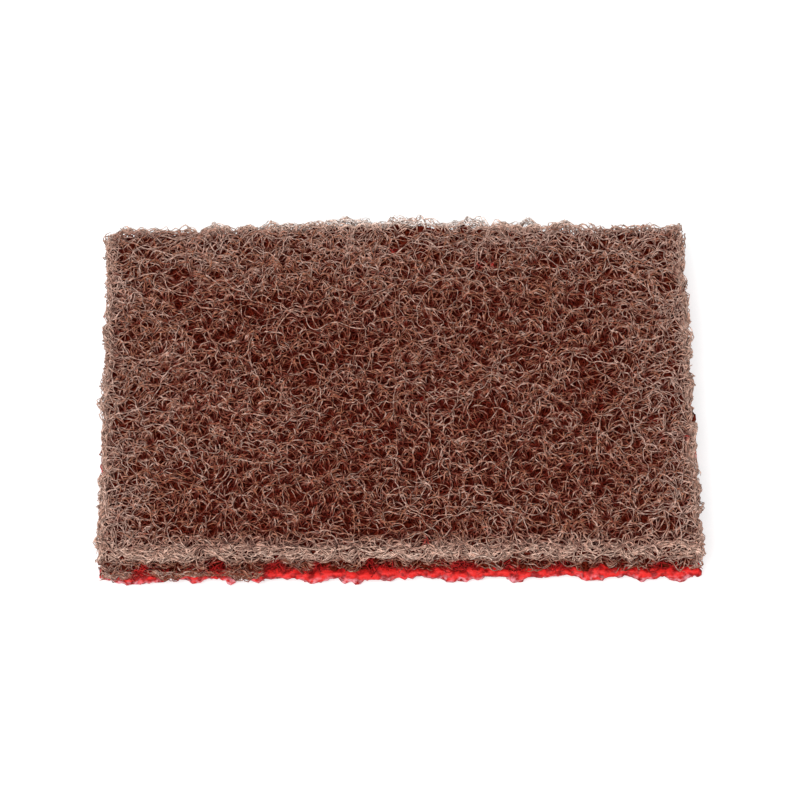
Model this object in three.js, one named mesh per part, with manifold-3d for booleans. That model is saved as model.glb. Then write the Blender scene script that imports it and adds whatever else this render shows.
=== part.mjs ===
// A rectangular non-woven abrasive pad. A lofty web of crimped fibres, bonded with brown abrasive
// resin, lies on a red resin coat that hangs in lumps under it, and the pad stands on those lumps.
// Millimetres, +Z up. The origin is the middle of the footprint, on the surface the pad stands on.
import * as THREE from 'three';
import { mergeVertices } from 'three/addons/utils/BufferGeometryUtils.js';
import Module from 'manifold-3d';

// Driving dimensions of the whole pad
const padLength = 150;
const padWidth = 100;
const webThickness = 11.4;
const coatThickness = 2.2;
const lumpHeight = 1.9;

// The web's open surface. Every third point of a triangular pattern is a pore, and the others are
// the six fibre knots round it. Pores lose up to twice poreVariation of their depth.
const poreSpacing = 4.5;
const pointsPerPore = 3;
const poreDepth = 2.4;
const poreVariation = 0.25;
const knotHeight = 0.8;
const knotDrift = 0.5;

// The web's cut sides, which bulge under the top edge and draw in above the coat.
const edgeRaggedness = 0.9;
const edgeSag = 1.6;
const sideRaggedness = 0.65;
const sidePoreDepth = 1.5;
const sidePoreShare = 0.35;
const sideBulge = 0.5;
const cornerCalm = 7;

// The coat, which stands a little proud of the web's foot in front, and short of it elsewhere.
const coatProud = 0.5;
const coatShort = 0.9;
const coatRaggedness = 0.5;
const coatRounding = 0.5;
const coatOutlineStep = 5;

// The lumps that hang from it. They take their height from the coat, and root in it.
const lumpSpacing = 15.5;
const lumpRadius = 4.4;
const lumpSpread = 0.35;
const lumpDrift = 2.2;
const lumpChamfer = 0.9;
const lumpRoot = 0.8;
const lumpSides = 8;

// The runs of resin along the front edge: the middle of each along X, half its length, and
// how far its foot stays above the standing surface.
const frontRuns = [
  { x: -66, reach: 7.4, lift: 0.6 },
  { x: -50.5, reach: 3.6, lift: 1 },
  { x: -42.2, reach: 2.4, lift: 0.7 },
  { x: -21.2, reach: 3.4, lift: 0 },
  { x: -11.8, reach: 4.2, lift: 0 },
  { x: -3.5, reach: 2.6, lift: 0.9 },
  { x: 14.6, reach: 7.6, lift: 0.8 },
  { x: 28.9, reach: 2.6, lift: 0 },
  { x: 48.5, reach: 5.4, lift: 0.7 },
  { x: 60.5, reach: 3.9, lift: 0.4 },
  { x: 69.6, reach: 3.4, lift: 0.3 },
];
const runWidth = 5.2;
const runProud = 1.1;

// Heights of the layers, from the standing surface up
const coatBottom = lumpHeight;
const webBottom = coatBottom + coatThickness;
const webTop = webBottom + webThickness;

const webColour = 0x7a4f40;
const coatColour = 0xd8201c;

// Two points closer than this are one, and a point this close to the rim is on it.
const nearlyNothing = 1e-4;

// What chance decides, each with a number of its own
const chance = {
  edgePush: 1,
  edgeSag: 2,
  knotHeight: 3,
  poreDepth: 4,
  knotAlong: 5,
  knotAcross: 6,
  sidePush: 7,
  sidePoreDepth: 8,
  coatEdge: 9,
  lumpSize: 10,
  lumpStretch: 11,
  lumpTurn: 12,
  lumpAlong: 13,
  lumpAcross: 14,
  sidePore: 15,
};

// A number from -1 to 1 that is always the same for the same two places and the same matter.
const placePrimes = [7919, 104729];
const matterPrime = 1299709;
function scatter(i, j, matter) {
  const seed = Math.abs(i * placePrimes[0] + j * placePrimes[1] + matter * matterPrime) + 1;
  return 2 * THREE.MathUtils.seededRandom(seed) - 1;
}

// Fills the strip between two rows of points with triangles. Rows run in rising place.
function fillStrip(faces, near, far) {
  let a = 0;
  let b = 0;
  while (a < near.length - 1 || b < far.length - 1) {
    const nearNext = a < near.length - 1 ? near[a + 1].place : Infinity;
    const farNext = b < far.length - 1 ? far[b + 1].place : Infinity;
    if (nearNext <= farNext) {
      faces.push(near[a].index, near[a + 1].index, far[b].index);
      a += 1;
    } else {
      faces.push(near[a].index, far[b + 1].index, far[b].index);
      b += 1;
    }
  }
}

// A point on the pad's rim at rest, with the way that faces out of the pad there.
function rimSpot(x, y) {
  const out = new THREE.Vector2(
    Math.abs(x) > padLength / 2 - nearlyNothing ? Math.sign(x) : 0,
    Math.abs(y) > padWidth / 2 - nearlyNothing ? Math.sign(y) : 0,
  );
  const toCorner = Math.hypot(padLength / 2 - Math.abs(x), padWidth / 2 - Math.abs(y));
  return { x, y, out: out.normalize(), calm: Math.min(1, toCorner / cornerCalm) };
}

// The depth of one pore, from its full depth down to the least that poreVariation leaves.
function unevenPore(depth, spread) {
  return depth * (1 - poreVariation * (1 - spread));
}

// The web: a pored top, pored ragged sides and a flat foot, as one closed skin.
function makeWeb() {
  const positions = [];
  const faces = [];
  const addPoint = (x, y, z) => positions.push(x, y, z) / 3 - 1;

  const knotStep = poreSpacing / Math.sqrt(pointsPerPore);
  const columns = Math.max(4, Math.round(padLength / knotStep));
  const rows = Math.max(4, Math.round(padWidth / (knotStep * Math.sin(Math.PI / 3))));
  const columnStep = padLength / columns;
  const rowStep = padWidth / rows;

  const topRows = [];
  for (let j = 0; j <= rows; j += 1) {
    const y = -padWidth / 2 + j * rowStep;
    const half = j % 2 ? columnStep / 2 : 0;
    const row = [];
    const rimPoint = (i, x) => {
      const spot = rimSpot(x, y);
      const push = edgeRaggedness * scatter(i, j, chance.edgePush);
      const z = webTop - (edgeSag * (1 + scatter(i, j, chance.edgeSag))) / 2;
      const index = addPoint(x + push * spot.out.x, y + push * spot.out.y, z);
      row.push({ place: x, index, spot });
    };
    const innerPoint = (i, x) => {
      const turn = THREE.MathUtils.euclideanModulo(i - Math.floor(j / 2) - j, pointsPerPore);
      const sag = (knotHeight * (1 + scatter(i, j, chance.knotHeight))) / 2;
      const pore = turn === 0 ? unevenPore(poreDepth, scatter(i, j, chance.poreDepth)) : 0;
      const dx = knotDrift * scatter(i, j, chance.knotAlong);
      const dy = knotDrift * scatter(i, j, chance.knotAcross);
      row.push({ place: x, index: addPoint(x + dx, y + dy, webTop - sag - pore) });
    };
    const onRim = j === 0 || j === rows;
    rimPoint(-1, -padLength / 2);
    for (let i = half ? 0 : 1; i < columns; i += 1) {
      const x = -padLength / 2 + i * columnStep + half;
      if (onRim) rimPoint(i, x);
      else innerPoint(i, x);
    }
    rimPoint(columns, padLength / 2);
    topRows.push(row);
  }
  for (let j = 0; j < rows; j += 1) fillStrip(faces, topRows[j], topRows[j + 1]);

  // The rim runs anticlockwise seen from above: front, right end, back, left end.
  const inner = topRows.slice(1, rows);
  const rim = [
    ...topRows[0],
    ...inner.map((row) => row[row.length - 1]),
    ...topRows[rows].slice().reverse(),
    ...inner.map((row) => row[0]).reverse(),
  ];
  const asRing = (indices) => {
    const ring = indices.map((index, k) => ({ place: k, index }));
    return [...ring, { place: ring.length, index: ring[0].index }];
  };
  const levels = Math.max(2, Math.round(webThickness / knotStep));
  let upper = asRing(rim.map((entry) => entry.index));
  for (let level = 1; level <= levels; level += 1) {
    const depth = level / levels;
    const z = webTop - webThickness * depth;
    const isFoot = level === levels;
    const lower = asRing(rim.map(({ spot }, k) => {
      const isPore = !isFoot && (1 + scatter(k, level, chance.sidePore)) / 2 > 1 - sidePoreShare;
      const spread = scatter(k, level, chance.sidePoreDepth);
      const ragged = sideRaggedness * scatter(k, level, chance.sidePush);
      const pore = isPore ? unevenPore(sidePoreDepth, spread) : 0;
      const bulge = sideBulge * Math.sin(2 * Math.PI * depth);
      const push = spot.calm * (ragged - pore) + bulge;
      return addPoint(spot.x + push * spot.out.x, spot.y + push * spot.out.y, z);
    }));
    fillStrip(faces, lower, upper);
    upper = lower;
  }

  const foot = upper.slice(0, -1).map((entry) => entry.index);
  const footOutline = foot.map((n) => new THREE.Vector2(positions[3 * n], positions[3 * n + 1]));
  for (const [a, b, c] of THREE.ShapeUtils.triangulateShape(footOutline, [])) {
    faces.push(foot[c], foot[b], foot[a]);
  }

  const geometry = new THREE.BufferGeometry();
  geometry.setAttribute('position', new THREE.Float32BufferAttribute(positions, 3));
  geometry.setIndex(faces);
  geometry.computeVertexNormals();
  return geometry;
}

// The coat's outline, which spreads unevenly under the web's foot.
function coatOutline() {
  const points = [];
  const side = (from, to, number) => {
    const steps = Math.max(2, Math.round(from.distanceTo(to) / coatOutlineStep));
    for (let k = 0; k < steps; k += 1) {
      const at = from.clone().lerp(to, k / steps);
      const spot = rimSpot(at.x, at.y);
      const reach = spot.out.y < 0 ? coatProud : -coatShort;
      const spread = coatRaggedness * scatter(k, number, chance.coatEdge);
      points.push(at.addScaledVector(spot.out, reach + spread));
    }
  };
  const corners = [[-1, -1], [1, -1], [1, 1], [-1, 1]].map(
    ([x, y]) => new THREE.Vector2((x * padLength) / 2, (y * padWidth) / 2),
  );
  corners.forEach((corner, k) => side(corner, corners[(k + 1) % corners.length], k));
  return points;
}

// A blunt drop of resin with a flat foot, from its foot up to where it roots in the coat.
function makeDrop(radius, foot) {
  const root = coatBottom + lumpRoot;
  const profile = [
    new THREE.Vector2(0, foot),
    new THREE.Vector2(radius - lumpChamfer, foot),
    new THREE.Vector2(radius, foot + lumpChamfer),
    new THREE.Vector2(radius, root),
    new THREE.Vector2(0, root),
  ];
  return new THREE.LatheGeometry(profile, lumpSides).rotateX(Math.PI / 2);
}

// A lump under the coat, sized, stretched and turned by chance.
function makeLump(i, j) {
  const drop = makeDrop(lumpRadius * (1 + lumpSpread * scatter(i, j, chance.lumpSize)), 0);
  drop.scale(1 + lumpSpread * scatter(i, j, chance.lumpStretch), 1, 1);
  return drop.rotateZ(Math.PI * scatter(i, j, chance.lumpTurn));
}

// A run of resin along the front edge, drawn out along X and standing proud of the coat.
function makeFrontRun({ x, reach, lift }) {
  const drop = makeDrop(runWidth / 2, lift);
  drop.rotateZ(Math.PI / lumpSides);
  drop.scale((2 * reach) / runWidth, 1, 1);
  return drop.translate(x, (runWidth - padWidth) / 2 - runProud, 0);
}

// Where the lumps hang. The one at the origin is not moved by chance.
function lumpSpots() {
  const spots = [];
  const rowStep = lumpSpacing * Math.sin(Math.PI / 3);
  const reachX = padLength / 2 - lumpRadius;
  const reachY = padWidth / 2 - lumpRadius;
  const rows = Math.floor(reachY / rowStep);
  for (let j = -rows; j <= rows; j += 1) {
    const half = j % 2 ? lumpSpacing / 2 : 0;
    const columns = Math.floor((reachX + half) / lumpSpacing);
    for (let i = -columns; i <= columns; i += 1) {
      const drift = i === 0 && j === 0 ? 0 : lumpDrift;
      const x = i * lumpSpacing + half + drift * scatter(i, j, chance.lumpAlong);
      const y = j * rowStep + drift * scatter(i, j, chance.lumpAcross);
      if (Math.abs(x) <= reachX + lumpDrift) spots.push({ i, j, x, y });
    }
  }
  return spots;
}

const wasm = await Module();
wasm.setup();

// A closed geometry as a solid that can be joined.
function asSolid(geometry) {
  const bare = geometry.clone();
  bare.deleteAttribute('normal');
  bare.deleteAttribute('uv');
  const merged = mergeVertices(bare, nearlyNothing);
  return new wasm.Manifold(new wasm.Mesh({
    numProp: 3,
    vertProperties: merged.attributes.position.array,
    triVerts: new Uint32Array(merged.index.array),
  }));
}

// A joined solid back as a geometry.
function asGeometry(solid) {
  const mesh = solid.getMesh();
  const geometry = new THREE.BufferGeometry();
  geometry.setAttribute('position', new THREE.BufferAttribute(mesh.vertProperties, 3));
  geometry.setIndex(new THREE.BufferAttribute(mesh.triVerts, 1));
  geometry.computeVertexNormals();
  return geometry;
}

// The coat: one film with every lump joined to its underside.
function makeCoat() {
  const film = new THREE.ExtrudeGeometry(new THREE.Shape(coatOutline()), {
    depth: coatThickness - 2 * coatRounding,
    bevelThickness: coatRounding,
    bevelSize: coatRounding,
    bevelOffset: -coatRounding,
    bevelSegments: 1,
  });
  film.translate(0, 0, coatBottom + coatRounding);
  let coat = asSolid(film);
  for (const run of frontRuns) coat = coat.add(asSolid(makeFrontRun(run)));
  for (const { i, j, x, y } of lumpSpots()) {
    coat = coat.add(asSolid(makeLump(i, j).translate(x, y, 0)));
  }
  return asGeometry(coat);
}

function makeMesh(name, geometry, colour, roughness) {
  const material = new THREE.MeshStandardMaterial({
    color: colour,
    roughness,
    metalness: 0,
    flatShading: true,
  });
  const mesh = new THREE.Mesh(geometry, material);
  mesh.name = name;
  return mesh;
}

const pad = new THREE.Group();
pad.add(makeMesh('fibre_web', makeWeb(), webColour, 0.95));
pad.add(makeMesh('resin_coat', makeCoat(), coatColour, 0.35));

export default pad;
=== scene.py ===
import math
from functools import partial

import bmesh
import bpy
import numpy as np
from mathutils import Matrix, Vector, noise


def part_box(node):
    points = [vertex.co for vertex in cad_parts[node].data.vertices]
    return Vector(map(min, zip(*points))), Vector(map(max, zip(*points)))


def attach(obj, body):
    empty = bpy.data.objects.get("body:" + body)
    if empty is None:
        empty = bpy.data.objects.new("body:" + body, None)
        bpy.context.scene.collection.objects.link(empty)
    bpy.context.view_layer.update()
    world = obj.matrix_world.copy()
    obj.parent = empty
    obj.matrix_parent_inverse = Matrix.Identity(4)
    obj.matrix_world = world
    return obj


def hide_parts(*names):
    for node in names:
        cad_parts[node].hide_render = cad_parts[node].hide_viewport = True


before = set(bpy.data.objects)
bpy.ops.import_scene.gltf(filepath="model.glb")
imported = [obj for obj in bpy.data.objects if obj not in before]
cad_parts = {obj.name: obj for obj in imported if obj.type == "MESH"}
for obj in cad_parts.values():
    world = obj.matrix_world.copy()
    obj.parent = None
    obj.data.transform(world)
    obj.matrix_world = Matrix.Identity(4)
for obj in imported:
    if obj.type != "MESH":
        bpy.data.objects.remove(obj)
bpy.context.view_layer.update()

mm = 0.001


# The camera looks down on the long front side, a little from the left, through a long lens that
# keeps the pad's sides nearly parallel. It leans by one degree, as the photograph does.
camera_aim = Vector((0.506, -0.529, 8.9)) * mm
camera_distance = 1.0798
camera_elevation = math.radians(55)
camera_azimuth = math.radians(-1.615)
camera_roll = math.radians(0.943)
camera_lens = 190.8
camera_clip = (0.1, 20)

camera_back = Vector((
    math.sin(camera_azimuth) * math.cos(camera_elevation),
    -math.cos(camera_azimuth) * math.cos(camera_elevation),
    math.sin(camera_elevation),
))
level_right = Vector((math.cos(camera_azimuth), math.sin(camera_azimuth), 0))
level_up = camera_back.cross(level_right)
camera_right = math.cos(camera_roll) * level_right + math.sin(camera_roll) * level_up
camera_up = math.cos(camera_roll) * level_up - math.sin(camera_roll) * level_right
camera_place = camera_aim + camera_distance * camera_back

camera_data = bpy.data.cameras.new("camera")
camera_data.lens = camera_lens
camera_data.clip_start, camera_data.clip_end = camera_clip
camera = bpy.data.objects.new("camera", camera_data)
camera.matrix_world = Matrix((
    (camera_right.x, camera_up.x, camera_back.x, camera_place.x),
    (camera_right.y, camera_up.y, camera_back.y, camera_place.y),
    (camera_right.z, camera_up.z, camera_back.z, camera_place.z),
    (0, 0, 0, 1),
))
bpy.context.scene.collection.objects.link(camera)
bpy.context.scene.camera = camera
bpy.context.scene.view_settings.view_transform = "Standard"


# The light is that of a white studio tent: an even white sky, and one large soft lamp over the
# front left. Together they light a level surface at about the brightness its colour is written in.
sky_strength = 0.62
sky_seen_strength = 1.0
lamp_place = Vector((-0.5, -1.1, 1.7))
lamp_side = 1.2
lamp_power = 34.0


def map_level(tree, level, taken, given=(0, 1), smooth=False):
    """Turns one range of a level, evenly or smoothly, into another range."""
    node = tree.nodes.new("ShaderNodeMapRange")
    if smooth:
        node.interpolation_type = "SMOOTHSTEP"
    node.inputs["From Min"].default_value, node.inputs["From Max"].default_value = taken
    node.inputs["To Min"].default_value, node.inputs["To Max"].default_value = given
    tree.links.new(level, node.inputs["Value"])
    return node.outputs["Result"]


world = bpy.data.worlds.new("white_tent")
world.use_nodes = True
bpy.context.scene.world = world
sky = world.node_tree.nodes["Background"]
sky.inputs["Color"].default_value = (1, 1, 1, 1)
sky_ray = world.node_tree.nodes.new("ShaderNodeLightPath").outputs["Is Camera Ray"]
sky_level = map_level(world.node_tree, sky_ray, (0, 1), (sky_strength, sky_seen_strength))
world.node_tree.links.new(sky_level, sky.inputs["Strength"])

lamp_data = bpy.data.lights.new("soft_lamp", "AREA")
lamp_data.size = lamp_side
lamp_data.energy = lamp_power
lamp = bpy.data.objects.new("soft_lamp", lamp_data)
lamp.location = lamp_place
lamp.rotation_euler = (camera_aim - lamp_place).to_track_quat("-Z", "Y").to_euler()
bpy.context.scene.collection.objects.link(lamp)


# The pad lies on a white sweep. The floor shines for the camera only as far as its own colour
# falls short of white, so it keeps the pad's soft shadow.
floor_side = 6.0
floor_gap = 0.05 * mm
floor_colour = (0.62, 0.62, 0.62, 1)
floor_glow = 0.55


def new_material(name):
    """An empty Principled material, with its node tree and its shader."""
    material = bpy.data.materials.new(name)
    material.use_nodes = True
    return material, material.node_tree, material.node_tree.nodes["Principled BSDF"]


def new_piece(name, mesh, material):
    """Puts a finished mesh into the scene as one piece of the object."""
    piece = bpy.data.objects.new(name, mesh)
    mesh.materials.append(material)
    bpy.context.scene.collection.objects.link(piece)
    return piece


floor_material, tree, shader = new_material("white_floor")
shader.inputs["Base Color"].default_value = floor_colour
shader.inputs["Roughness"].default_value = 1
shader.inputs["Specular IOR Level"].default_value = 0
glow = tree.nodes.new("ShaderNodeEmission")
glow_ray = tree.nodes.new("ShaderNodeLightPath")
glow_level = map_level(tree, glow_ray.outputs["Is Camera Ray"], (0, 1), (0, floor_glow))
both = tree.nodes.new("ShaderNodeAddShader")
tree.links.new(glow_level, glow.inputs["Strength"])
tree.links.new(shader.outputs["BSDF"], both.inputs[0])
tree.links.new(glow.outputs["Emission"], both.inputs[1])
tree.links.new(both.outputs["Shader"], tree.nodes["Material Output"].inputs["Surface"])

bm = bmesh.new()
bmesh.ops.create_grid(bm, x_segments=1, y_segments=1, size=floor_side / 2)
bmesh.ops.translate(bm, verts=bm.verts, vec=(0, 0, -floor_gap))
floor_mesh = bpy.data.meshes.new("floor")
bm.to_mesh(floor_mesh)
bm.free()
floor = new_piece("floor", floor_mesh, floor_material)


# The web's inside: crimped fibres packed too deep to be told apart. It is one dark, pitted mass that
# follows the web's frayed skin some way below it, and its foot is bonded to the red coat. Its dark
# colour is partly the packed fibres' own dark brown and partly painted shade, for the shade that
# falls deep inside the web.
chance = np.random.default_rng(11)
half_x = 75.0
half_y = 50.0
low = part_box("fibre_web")[0].z / mm
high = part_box("fibre_web")[1].z / mm
ripple_waves = 28
ripple_tilt = 0.6
fringe_reach = 0.65
fringe_length = (3.0, 11.0)
side_bulge = 0.5
back_stand = 0.9
back_bow = 2.3
back_bow_half = 45.0
back_tuft_reach = 1.9
back_tuft_steepness = 2
back_tuft_length = (6.0, 16.0)
corner_cut = 3.0
corner_length = 3.5
core_inset = 1.6
core_drop = 3.0
core_cell = 1.5
core_pit = 0.7
core_pit_length = 3.2
core_pit_detail = (0.8, 2.2, 3)
core_rim_power = 12
core_tangle = 680
# The core's colours are partly painted shade: nearly black, a little lighter along the lines of its
# tangle.
core_deep_shade = (0.036, 0.0022, 0.0006, 1)
core_edge_shade = (0.135, 0.017, 0.008, 1)
core_edge_shade_to = 0.02
core_deep_shade_from = 0.22
core_roughness = 0.9


def ripple(shortest, longest):
    """A smooth random function of places in space. It runs from about -1 to 1."""
    round_about = chance.uniform(0, 2 * math.pi, ripple_waves)
    rise = chance.uniform(-ripple_tilt, ripple_tilt, ripple_waves)
    count = 2 * math.pi / chance.uniform(shortest, longest, ripple_waves)
    ways = np.stack([np.cos(round_about), np.sin(round_about), rise]) * count
    phase = chance.uniform(0, 2 * math.pi, ripple_waves)
    return lambda place: np.sin(place @ ways + phase).sum(-1) / math.sqrt(ripple_waves)


fringe = ripple(*fringe_length)
back_tuft = ripple(*back_tuft_length)


def reach(place, tuft_reach=back_tuft_reach):
    """How far the frayed sides stand out of the pad's plain oblong near places, along X and Y.
    The back one bows out in the middle, is tufted, and falls back at its left corner."""
    bow = back_bow * np.clip(1 - (place[:, 0] / back_bow_half) ** 2, 0, 1)
    tufts = tuft_reach * np.clip(back_tuft_steepness * back_tuft(place), 0, 1)
    corner = corner_cut * np.clip(1 - (half_x + place[:, 0]) / corner_length, 0, 1)
    bulge = side_bulge * np.sin(2 * math.pi * (high - place[:, 2]) / (high - low))
    even = fringe_reach * fringe(place) + bulge
    behind = (back_stand + bow + tufts - corner) * (place[:, 1] > 0)
    return np.column_stack([even, even + behind])


core_size = Vector((half_x - core_inset, half_y - core_inset, (high - core_drop - low) / 2)) * 2
bm = bmesh.new()
bmesh.ops.create_cube(bm, size=1)
bmesh.ops.scale(bm, verts=bm.verts, vec=core_size)
bmesh.ops.translate(bm, verts=bm.verts, vec=(0, 0, low + core_size.z / 2))
for axis in range(3):
    along = [e for e in bm.edges if abs((e.verts[0].co - e.verts[1].co)[axis]) > core_cell]
    cuts = round(core_size[axis] / core_cell) - 1
    bmesh.ops.subdivide_edges(bm, edges=along, cuts=cuts, use_grid_fill=True)
bm.normal_update()
core_places = np.array([vert.co for vert in bm.verts])
core_share = (2 * np.abs(core_places[:, :2]) / core_size[:2]) ** core_rim_power
core_shifts = np.sign(core_places[:, :2]) * reach(core_places, 0) * core_share
for vert, (shift_x, shift_y) in zip(bm.verts, core_shifts):
    if vert.co.z > low + core_cell / 2:
        depth = noise.fractal(vert.co / core_pit_length, *core_pit_detail)
        vert.co += vert.normal * core_pit * depth
    vert.co += Vector((shift_x, shift_y, 0))
bmesh.ops.scale(bm, verts=bm.verts, vec=(mm, mm, mm))
core_mesh = bpy.data.meshes.new("web_core")
bm.to_mesh(core_mesh)
bm.free()


def object_place(tree):
    """The place on the object, which every pattern is read from."""
    return tree.nodes.new("ShaderNodeTexCoord").outputs["Object"]


def colour_ramp(tree, level, stops):
    """Turns a level into colours, each given with the level at which it is reached."""
    node = tree.nodes.new("ShaderNodeValToRGB")
    elements = node.color_ramp.elements
    while len(elements) < len(stops):
        elements.new(0.5)
    for element, (position, colour) in zip(elements, stops):
        element.position = position
        element.color = colour
    tree.links.new(level, node.inputs["Fac"])
    return node.outputs["Color"]


# The packed fibres' material, darkened with painted shade.
core_material, tree, shader = new_material("packed_fibre_painted_shade")
shader.inputs["Roughness"].default_value = core_roughness
shader.inputs["Specular IOR Level"].default_value = 0
tangle = tree.nodes.new("ShaderNodeTexVoronoi")
tangle.feature = "DISTANCE_TO_EDGE"
tangle.inputs["Scale"].default_value = core_tangle
tree.links.new(object_place(tree), tangle.inputs["Vector"])
core_stops = [(core_edge_shade_to, core_edge_shade), (core_deep_shade_from, core_deep_shade)]
core_colour = colour_ramp(tree, tangle.outputs["Distance"], core_stops)
tree.links.new(core_colour, shader.inputs["Base Color"])

web_core = new_piece("web_core", core_mesh, core_material)
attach(web_core, "root")
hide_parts("fibre_web")


# The fibres of the open top: long crimped nylon, laid flat in every direction, needled together
# and bonded with brown abrasive resin. They bend over the rim, and turn back or end on the sides.
fibre_radius = 0.156
fibre_step = 1.0
fibre_sides = 3
fibre_curl = 0.23
curl_memory = 0.7
crimp_turn = (0.1, 0.7)
crimp_length = (3.0, 7.5)
swell = 0.3
swell_limits = (0.6, 1.9)
tip_radius = 0.3
wave_height = (0.3, 1.5)
wave_length = (3.0, 7.0)
relief_height = 0.5
relief_length = (7.0, 22.0)
pit_length = (2.0, 5.5)
pit_limit = 1.5
top_pit = 0.85
rim_radius = 1.8
turn_margin = 1.3
turn_rate = 0.8
turned_back = -0.3
cut_share = 0.3
cut_from = -0.5
fewest_points = 4
soak_height = (-0.4, 5.0)
soak_spread = 1.0
soak_inwards = 1.3
soak_depth = 0.7
soak_fade = 1.4
soak_length = (4.0, 16.0)
speck_radius = 1.1
speck_full = 0.5
speck_depth = 0.8
speck_places = [
    (66.4, -15.9), (51.2, -7.2), (72.5, -16.5), (6.4, -47.2), (21.5, 37.9), (25.1, 37.9),
]

# Each layer of the top: its least and greatest depth, and its number of fibres.
top_half = (half_x, half_y)
top_layers = {
    "top_fibres_deep": (1.0, 2.2, 900),
    "top_fibres_lower": (0.4, 1.1, 1100),
    "top_fibres_middle": (0.1, 0.6, 1100),
    "top_fibres_upper": (0.0, 0.3, 950),
}
top_steps = 24
top_hang = 3.4

# The pale bands at the front, the back and the two ends, partly wear at the cut and partly painted
# light: how far in each reaches, the power it fades with, how far outside it is full, and how pale
# it then is.
fray_front = (7.0, 1.9, 0.0, 1.0)
fray_back = (0.8, 1.0, 2.4, 2.0)
fray_ends = (5.0, 1.5, 1.0, 1.0)
fray_foot = 3.9
fray_rise = 3.5
pale_share = (0.4, 1.0)

# Towards its sides the web is painted lighter, for the light that reaches in around them: its shades
# rise, and its painted depth shade darkens it less.
light_rise = 0.45
light_depth = 26.0
light_power = 1.5
light_ease = 0.45

relief = ripple(*relief_length)
pits = ripple(*pit_length)
soak = ripple(*soak_length)


def lay_on_top(spot, sink):
    """Lays spots of the flat top over the rounded rim, sunk below the web's uneven skin."""
    flat = np.column_stack([spot, np.full(len(spot), high)])
    side = top_half + reach(flat)
    beyond = np.abs(spot) - side
    arc = np.clip(beyond / rim_radius + 1, 0, math.pi / 2)
    hang = np.maximum(beyond + rim_radius * (1 - math.pi / 2), 0)
    bent = np.where(arc > 0, rim_radius * (np.sin(arc) - 1), beyond)
    drop = (rim_radius * (1 - np.cos(arc)) + hang).sum(1)
    out = np.column_stack([np.sign(spot) * np.sin(arc), np.cos(arc).prod(1)])
    out /= np.linalg.norm(out, axis=1)[:, None]
    skin = np.column_stack([np.sign(spot) * (side + bent), high - drop])
    hollow = relief_height * (1 + relief(flat)) / 2
    return skin - out * (hollow + sink)[:, None]


def grow(half, lay, hang, pit, number, sink_range, steps, slant=math.pi):
    """Lets fibres wander under one face of the pad. A path's rows are X, Y, Z and depth. They
    start out in any direction, or no further than a slant from the face's first direction."""
    spot = chance.uniform(-1, 1, (number, 2)) * (np.array(half) + hang / 2)
    sinks = chance.uniform(*sink_range, number)
    angle = chance.uniform(-slant, slant, number) + math.pi * (chance.random(number) < 0.5)
    bend = chance.normal(0, fibre_curl, number)
    swing = chance.uniform(*wave_height, number)
    wave = 2 * math.pi / chance.uniform(*wave_length, number)
    phase = chance.uniform(0, 2 * math.pi, number)
    crimp = chance.uniform(*crimp_turn, number)
    crimp_wave = 2 * math.pi / chance.uniform(*crimp_length, number)
    crimp_phase = chance.uniform(0, 2 * math.pi, number)
    cut = chance.random(number) < cut_share
    cut_at = chance.uniform(cut_from, hang, number)
    ends = np.full(number, steps + 1)
    path = np.zeros((steps + 1, number, 4))
    for step in range(steps + 1):
        gone = fibre_step * step
        sink = sinks + swing * (1 + np.sin(wave * gone + phase)) / 2
        sink += pit * np.clip(pits(lay(spot, sink)), 0, pit_limit)
        path[step] = np.column_stack([lay(spot, sink), sink])
        over = np.abs(spot) - half
        edge = over.max(1)
        by_first = over[:, 0] > over[:, 1]
        leave = np.sign(spot) * np.column_stack([by_first, ~by_first])
        done = cut & (edge > cut_at) | (edge > hang)
        ends = np.where(done & (ends > step), step, ends)
        way = np.column_stack([np.cos(angle), np.sin(angle)])
        leaving = (way * leave).sum(1) > turned_back
        turn = -np.sign(way[:, 0] * leave[:, 1] - way[:, 1] * leave[:, 0])
        turning = (edge > hang - turn_margin) & leaving & ~cut
        spread = chance.normal(0, fibre_curl, number)
        bend = curl_memory * bend + math.sqrt(1 - curl_memory ** 2) * spread
        crimping = bend + crimp * np.cos(crimp_wave * gone + crimp_phase)
        angle += np.where(turning, turn * turn_rate, crimping) * fibre_step
        spot = spot + fibre_step * np.column_stack([np.cos(angle), np.sin(angle)])
    return [path[:end, k] for k, end in enumerate(ends) if end >= fewest_points]


def soaked(place, sunk, own):
    """How far red resin has soaked into the fibres at places, from 0 to 1. It has climbed higher
    inside the web than on its skin, and a few drops of it have landed on the top."""
    least, most = soak_height
    line = low + least + (most - least) * (1 + soak(place * (1, 1, 0))) / 2
    line += own * soak_spread + soak_inwards * (sunk - soak_depth)
    level = np.clip((line - place[:, 2]) / soak_fade, 0, 1)
    for spot in speck_places:
        away = np.linalg.norm(place - (*spot, high - speck_depth), axis=1)
        speck = (1 - away / speck_radius) / (1 - speck_full)
        level = np.maximum(level, np.clip(speck, 0, 1))
    return level


def frayed(place):
    """How pale fibres are painted at places, from 0 to 1, and on to 2 for white. It is partly wear
    at the cut and partly painted light, for the light that falls on the frayed sides and shines
    through the back's tufts. Only a narrow band along the sides is paled, and nowhere down to the
    coat. The back's tufts are white."""
    inwards = (half_y + place[:, 1], half_y - place[:, 1], half_x - np.abs(place[:, 0]))
    worn_and_lit = np.zeros(len(place))
    for inward, band in zip(inwards, (fray_front, fray_back, fray_ends)):
        furthest, power, outside, most = band
        share = np.clip((furthest - inward) / (furthest + outside), 0, 1)
        worn_and_lit = np.maximum(worn_and_lit, most * share ** power)
    return worn_and_lit * np.clip((place[:, 2] - low - fray_foot) / fray_rise, 0, 1)


def painted_side_light(place):
    """How much lighter the web is painted at places than in the middle, from 0 to 1 at its sides.
    This is painted light, for the light that reaches into the web from around its sides.
    """
    inwards = np.minimum(half_x - np.abs(place[:, 0]), half_y - place[:, 1])
    return np.clip(1 - inwards / light_depth, 0, 1) ** light_power


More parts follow.
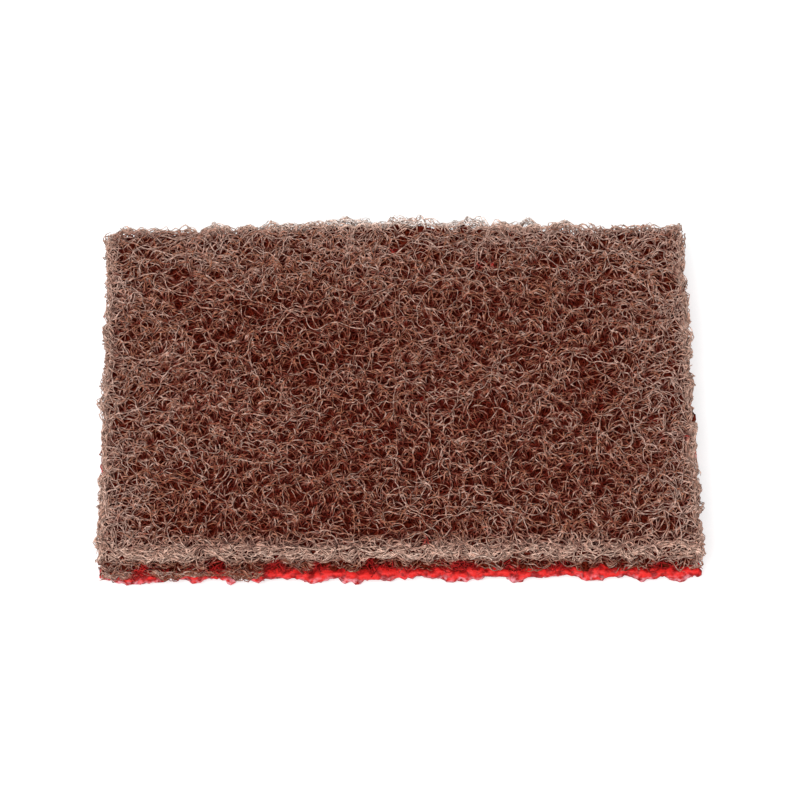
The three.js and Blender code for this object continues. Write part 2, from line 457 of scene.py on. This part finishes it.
def draw_strands(name, paths, radius):
    """Makes a round strand along each path, with swellings where resin has gathered."""
    ring = bpy.data.curves.new("ring", "CURVE")
    loop = ring.splines.new("POLY")
    loop.points.add(fibre_sides - 1)
    loop.use_cyclic_u = True
    for k, point in enumerate(loop.points):
        turn = 2 * math.pi * k / fibre_sides
        point.co = (radius * mm * math.cos(turn), radius * mm * math.sin(turn), 0, 1)
    ring_object = bpy.data.objects.new("ring", ring)
    strands = bpy.data.curves.new(name, "CURVE")
    strands.dimensions = "3D"
    strands.bevel_mode = "OBJECT"
    strands.bevel_object = ring_object
    for path in paths:
        strand = strands.splines.new("POLY")
        strand.points.add(len(path) - 1)
        places = np.column_stack([path[:, :3] * mm, np.ones(len(path))])
        strand.points.foreach_set("co", places.ravel())
        width = np.clip(1 + swell * chance.standard_normal(len(path)), *swell_limits)
        width[[0, -1]] = tip_radius
        strand.points.foreach_set("radius", width)
    drawn = bpy.data.objects.new(name, strands)
    bpy.context.scene.collection.objects.link(drawn)
    shown = drawn.evaluated_get(bpy.context.evaluated_depsgraph_get())
    mesh = bpy.data.meshes.new_from_object(shown)
    bpy.data.objects.remove(drawn)
    bpy.data.curves.remove(strands)
    bpy.data.objects.remove(ring_object)
    bpy.data.curves.remove(ring)
    mesh.name = name
    mesh.materials.clear()
    return mesh


def mark(mesh, name, values):
    """Gives each point of a strand mesh the value of the path point that it goes round."""
    layer = mesh.attributes.new(name, "FLOAT", "POINT")
    layer.data.foreach_set("value", np.repeat(values, fibre_sides))


def close_ends(mesh):
    """Closes the open ends of the strands, and turns every face outwards."""
    bm = bmesh.new()
    bm.from_mesh(mesh)
    rims = [edge for edge in bm.edges if edge.is_boundary]
    bmesh.ops.holes_fill(bm, edges=rims, sides=fibre_sides)
    bmesh.ops.recalc_face_normals(bm, faces=bm.faces)
    for face in bm.faces:
        face.smooth = True
    bm.to_mesh(mesh)
    bm.free()


def fibre_piece(name, paths, shades, radius=fibre_radius, soak_shift=0):
    """Makes a piece of web fibres. Each fibre has its own shade, from 0, dark, to 1, pale."""
    mesh = draw_strands(name, paths, radius)
    along = np.concatenate(paths)
    counts = [len(path) for path in paths]
    # Painted light: fibres near the sides get lighter shades and less painted depth shade.
    light = painted_side_light(along[:, :3])
    mark(mesh, "shade", np.repeat(shades, counts) + light_rise * light)
    mark(mesh, "sunk", along[:, 3] * (1 - light_ease * light))
    own = np.repeat(chance.uniform(-1, 1, len(paths)) + soak_shift, counts)
    mark(mesh, "soaked", soaked(along[:, :3], along[:, 3], own))
    own_paleness = np.repeat(chance.uniform(*pale_share, len(paths)), counts)
    mark(mesh, "frayed", frayed(along[:, :3]) * own_paleness)
    close_ends(mesh)
    piece = new_piece(name, mesh, fibre_material)
    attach(piece, "root")
    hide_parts("fibre_web")


fibre_colours = [
    (0.0, (0.155, 0.031, 0.018, 1)),
    (0.2, (0.260, 0.081, 0.049, 1)),
    (0.4, (0.280, 0.116, 0.062, 1)),
    (0.6, (0.375, 0.168, 0.127, 1)),
    (0.8, (0.362, 0.197, 0.142, 1)),
    (1.0, (0.455, 0.290, 0.238, 1)),
]
fibre_roughness = 0.6
fibre_shine = 0.12
grit_scale = 1100
grit_detail = 2
grit_taken = (0.3, 0.7)
grit_shift = (-0.35, 0.35)
grain_scale = 1300
grain_detail = 1
grain_taken = (0.35, 0.65)
grain_strength = (0.6, 1.45)
# Painted shade: the deeper a fibre lies below the web's skin, the darker and redder it is painted.
depth_shade_range = (0.3, 1.8)
depth_shade_tint = (0.38, 0.064, 0.032, 1)
pale_colour = (0.650, 0.440, 0.352, 1)
white_range = (0.9, 1.7)
white_colour = (0.90, 0.81, 0.76, 1)
soak_colour = (0.34, 0.012, 0.011, 1)

# The sockets that a mix node uses for colours.
mix_factor, mix_first, mix_second, mix_result = 0, 6, 7, 2


def attribute(tree, name):
    """A value that the mesh carries at each of its points."""
    node = tree.nodes.new("ShaderNodeAttribute")
    node.attribute_name = name
    return node.outputs["Fac"]


def noise_level(tree, place, scale, detail):
    """A cloudy random level, about 0.5, at places."""
    node = tree.nodes.new("ShaderNodeTexNoise")
    node.inputs["Scale"].default_value = scale
    node.inputs["Detail"].default_value = detail
    tree.links.new(place, node.inputs["Vector"])
    return node.outputs["Fac"]


def combine(tree, operation, first, second, clamp=False):
    """The sum or product of two levels, kept between 0 and 1 where that is asked for."""
    node = tree.nodes.new("ShaderNodeMath")
    node.operation = operation
    node.use_clamp = clamp
    tree.links.new(first, node.inputs[0])
    tree.links.new(second, node.inputs[1])
    return node.outputs["Value"]


def feed(tree, socket, value):
    """Gives a socket a fixed value, or the output of another node."""
    if isinstance(value, bpy.types.NodeSocket):
        tree.links.new(value, socket)
    else:
        socket.default_value = value


def mix_colours(tree, share, first, second, blend="MIX"):
    """Leads from a first colour to a second one, or to their product, by a share."""
    node = tree.nodes.new("ShaderNodeMix")
    node.data_type = "RGBA"
    node.blend_type = blend
    feed(tree, node.inputs[mix_factor], share)
    feed(tree, node.inputs[mix_first], first)
    feed(tree, node.inputs[mix_second], second)
    return node.outputs[mix_result]


fibre_material, tree, shader = new_material("resin_bonded_fibre")
shader.inputs["Roughness"].default_value = fibre_roughness
shader.inputs["Specular IOR Level"].default_value = fibre_shine
place = object_place(tree)
grit = map_level(tree, noise_level(tree, place, grit_scale, grit_detail), grit_taken, grit_shift)
grain = noise_level(tree, place, grain_scale, grain_detail)
grain = map_level(tree, grain, grain_taken, grain_strength)
# Painted shade, from each point's depth below the skin.
depth_shade = map_level(tree, attribute(tree, "sunk"), depth_shade_range, smooth=True)
# Pale bands along the sides: partly wear at the cut, partly painted light on the frayed edges, white
# at the back's see-through tufts.
worn_and_lit = attribute(tree, "frayed")
white = map_level(tree, worn_and_lit, white_range)
colour = colour_ramp(tree, combine(tree, "ADD", attribute(tree, "shade"), grit), fibre_colours)
colour = mix_colours(tree, depth_shade, colour, depth_shade_tint, "MULTIPLY")
colour = mix_colours(tree, worn_and_lit, colour, pale_colour)
colour = mix_colours(tree, white, colour, white_colour)
colour = mix_colours(tree, attribute(tree, "soaked"), colour, soak_colour)
colour = mix_colours(tree, 1, colour, grain, "MULTIPLY")
tree.links.new(colour, shader.inputs["Base Color"])

for name, (least, most, number) in top_layers.items():
    paths = grow(top_half, lay_on_top, top_hang, top_pit, number, (least, most), top_steps)
    fibre_piece(name, paths, chance.random(len(paths)))


# Long strands that cross the top in wide curves. They are finer than the others, the palest of
# them all, and lie over the pits without dipping into them.
long_strands = 70
long_steps = 38
long_sinks = (0, 0.05)
long_radius = 0.13
long_shades = (0.8, 1)

paths = grow(top_half, lay_on_top, 0, 0, long_strands, long_sinks, long_steps)
fibre_piece("long_strands", paths, chance.uniform(*long_shades, len(paths)), long_radius)


# The fibres of the cut sides. They lie flat on each side as the top ones do on the top, down to
# the coat, and the cut has left them in small bulges and hollows. Each layer has its least and
# greatest depth, and its number of fibres per square centimetre.
side_layers = {
    "side_fibres_deep": (0.7, 1.7, 16),
    "side_fibres_lower": (0.3, 1.1, 21),
    "side_fibres_upper": (0.0, 0.4, 20),
}
mm_per_cm = 10
side_steps = 12
side_pit = 0.5
side_hang = 0.4
side_top = high - 1.4
side_foot = low - 0.3

# The way out of each side, and half its length.
sides = [
    ((0, -1, 0), half_x),
    ((1, 0, 0), half_y),
    ((0, 1, 0), half_x),
    ((-1, 0, 0), half_y),
]


def lay_on_side(out, middle, spot, sink):
    """Lays spots of one flat side on the web's frayed skin, which rounds off at the rim."""
    along = np.array((abs(out[1]), abs(out[0]), 0))
    flat = np.array(middle) + spot[:, :1] * along + spot[:, 1:] * (0, 0, 1)
    stand = reach(flat) @ np.abs(out[:2])
    up = np.clip(flat[:, 2] - (high - rim_radius), 0, rim_radius)
    stand -= rim_radius - np.sqrt(rim_radius ** 2 - up ** 2)
    return flat + np.array(out) * (stand - sink)[:, None]


for name, (least, most, per_square_cm) in side_layers.items():
    paths = []
    for out, half_length in sides:
        middle = (out[0] * half_x, out[1] * half_y, (side_top + side_foot) / 2)
        half = (half_length, (side_top - side_foot) / 2)
        number = round(per_square_cm * 4 * half[0] * half[1] / mm_per_cm ** 2)
        lay = partial(lay_on_side, out, middle)
        paths += grow(half, lay, side_hang, side_pit, number, (least, most), side_steps)
    fibre_piece(name, paths, chance.random(len(paths)))


# The fibres at the left end of the front's foot. They are glued to the coat's face and hang down
# over it nearly to its lower edge, with gaps through which it shows.
foot_fibres = 260
foot_steps = 8
foot_slant = 0.8
foot_stand = 0.9
foot_sinks = (-0.2, 0.6)
foot_top = low + 2.4
foot_lowest = 2.1
foot_highest = low + 0.4
foot_right = -33.0
foot_soak = -1.1
foot_length = (5.0, 14.0)
foot_steepness = 1.2
tongues = ripple(*foot_length)


def lay_on_foot(spot, sink):
    """Lays spots of a strip, from -1 to 1 across, on the left end of the coat's front face. The
    strip's lower edge runs in tongues."""
    along = spot[:, 0] + (foot_right - half_x) / 2
    flat = np.column_stack([along, np.full((len(spot), 2), (-half_y, 0))])
    bare = np.clip(foot_steepness * tongues(flat), 0, 1)
    foot = foot_lowest + bare * (foot_highest - foot_lowest)
    height = foot + (foot_top - foot) * (spot[:, 1] + 1) / 2
    return np.column_stack([along, sink - foot_stand - half_y, height])


foot_half = ((foot_right + half_x) / 2, 1)
paths = grow(foot_half, lay_on_foot, 0, 0, foot_fibres, foot_sinks, foot_steps, foot_slant)
fibre_piece("foot_fibres", paths, chance.random(len(paths)), soak_shift=foot_soak)


# The red coat: resin that was spread under the web and ran together in lumps. It follows the CAD
# coat, with its corners melted round and with a swollen, uneven skin.
coat_weld = 0.001 * mm
coat_voxel = 0.5 * mm
coat_smoothing = 3
coat_smoothing_step = 0.5
coat_ripple = 0.75 * mm
coat_ripple_length = 1.7 * mm
coat_ripple_detail = (0.8, 2.1, 3)
coat_keep = 0.26
coat_dark = (0.28, 0.004, 0.004, 1)
coat_dark_to = 0.38
coat_bright = (0.77, 0.024, 0.021, 1)
coat_bright_from = 0.55
cloud_scale = 520
cloud_detail = 3
coat_bump_strength = 0.9
coat_bump_depth = 0.5 * mm
coat_roughness = 0.5
coat_shine = 0.18
coat_glow_share = 0.15
coat_glow_radius = (1.0, 0.15, 0.1)
coat_glow_scale = 1.5 * mm

# Towards the foot of the sides the resin is thin, and it is painted pale pink there in patches:
# painted light that shines through the thin resin, and painted sparkle highlights. Underneath it
# stays red.
pale_painted_light = (0.90, 0.34, 0.38, 1)
thin_width = 2.5 * mm
thin_top = 3.5 * mm
thin_height = 1.1 * mm
painted_light_scale = 900
painted_light_detail = 3
painted_light_taken = (0.42, 0.68)

coat_material, tree, shader = new_material("red_resin")
shader.inputs["Roughness"].default_value = coat_roughness
shader.inputs["Specular IOR Level"].default_value = coat_shine
shader.inputs["Subsurface Weight"].default_value = coat_glow_share
shader.inputs["Subsurface Radius"].default_value = coat_glow_radius
shader.inputs["Subsurface Scale"].default_value = coat_glow_scale
place = object_place(tree)
cloud = noise_level(tree, place, cloud_scale, cloud_detail)
# Painted light and painted highlights, in pale patches near the coat's foot.
painted_light_patches = map_level(tree, noise_level(tree, place, painted_light_scale, painted_light_detail), painted_light_taken)
painted_light_share = combine(tree, "MULTIPLY", attribute(tree, "thin"), painted_light_patches, clamp=True)
colour = colour_ramp(tree, cloud, [(coat_dark_to, coat_dark), (coat_bright_from, coat_bright)])
colour = mix_colours(tree, painted_light_share, colour, pale_painted_light)
bump = tree.nodes.new("ShaderNodeBump")
bump.inputs["Strength"].default_value = coat_bump_strength
bump.inputs["Distance"].default_value = coat_bump_depth
tree.links.new(colour, shader.inputs["Base Color"])
tree.links.new(cloud, bump.inputs["Height"])
tree.links.new(bump.outputs["Normal"], shader.inputs["Normal"])

bm = bmesh.new()
bm.from_mesh(bpy.data.objects["resin_coat"].data)
bmesh.ops.remove_doubles(bm, verts=bm.verts, dist=coat_weld)
coat_mesh = bpy.data.meshes.new("red_coat")
bm.to_mesh(coat_mesh)
bm.free()

red_coat = new_piece("red_coat", coat_mesh, coat_material)
remesh = red_coat.modifiers.new("melt", "REMESH")
remesh.mode = "VOXEL"
remesh.voxel_size = coat_voxel
shown = red_coat.evaluated_get(bpy.context.evaluated_depsgraph_get())
melted_mesh = bpy.data.meshes.new_from_object(shown)
red_coat.modifiers.clear()

bm = bmesh.new()
bm.from_mesh(melted_mesh)
for _ in range(coat_smoothing):
    bmesh.ops.smooth_vert(
        bm, verts=bm.verts, factor=coat_smoothing_step,
        use_axis_x=True, use_axis_y=True, use_axis_z=True,
    )
bm.normal_update()
for vert in bm.verts:
    rise = noise.fractal(vert.co / coat_ripple_length, *coat_ripple_detail)
    vert.co += vert.normal * coat_ripple * rise
    vert.co.z = max(vert.co.z, 0)
for face in bm.faces:
    face.smooth = True
bm.to_mesh(coat_mesh)
bm.free()
bpy.data.meshes.remove(melted_mesh)

thin_out = red_coat.modifiers.new("thin_out", "DECIMATE")
thin_out.ratio = coat_keep
shown = red_coat.evaluated_get(bpy.context.evaluated_depsgraph_get())
thinned_mesh = bpy.data.meshes.new_from_object(shown)
red_coat.modifiers.clear()
red_coat.data = thinned_mesh
bpy.data.meshes.remove(coat_mesh)
thinned_mesh.name = "red_coat"

# Where the coat is thin near its foot: the mask for its painted light.
skin = np.array([vert.co for vert in thinned_mesh.vertices])
inset = (half_x * mm, half_y * mm) - np.abs(skin[:, :2])
foot = np.clip(1 - inset.min(1) / thin_width, 0, 1) * (thin_top - skin[:, 2]) / thin_height
thin = thinned_mesh.attributes.new("thin", "FLOAT", "POINT")
thin.data.foreach_set("value", np.maximum(foot, 0))

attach(red_coat, "root")
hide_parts("resin_coat")
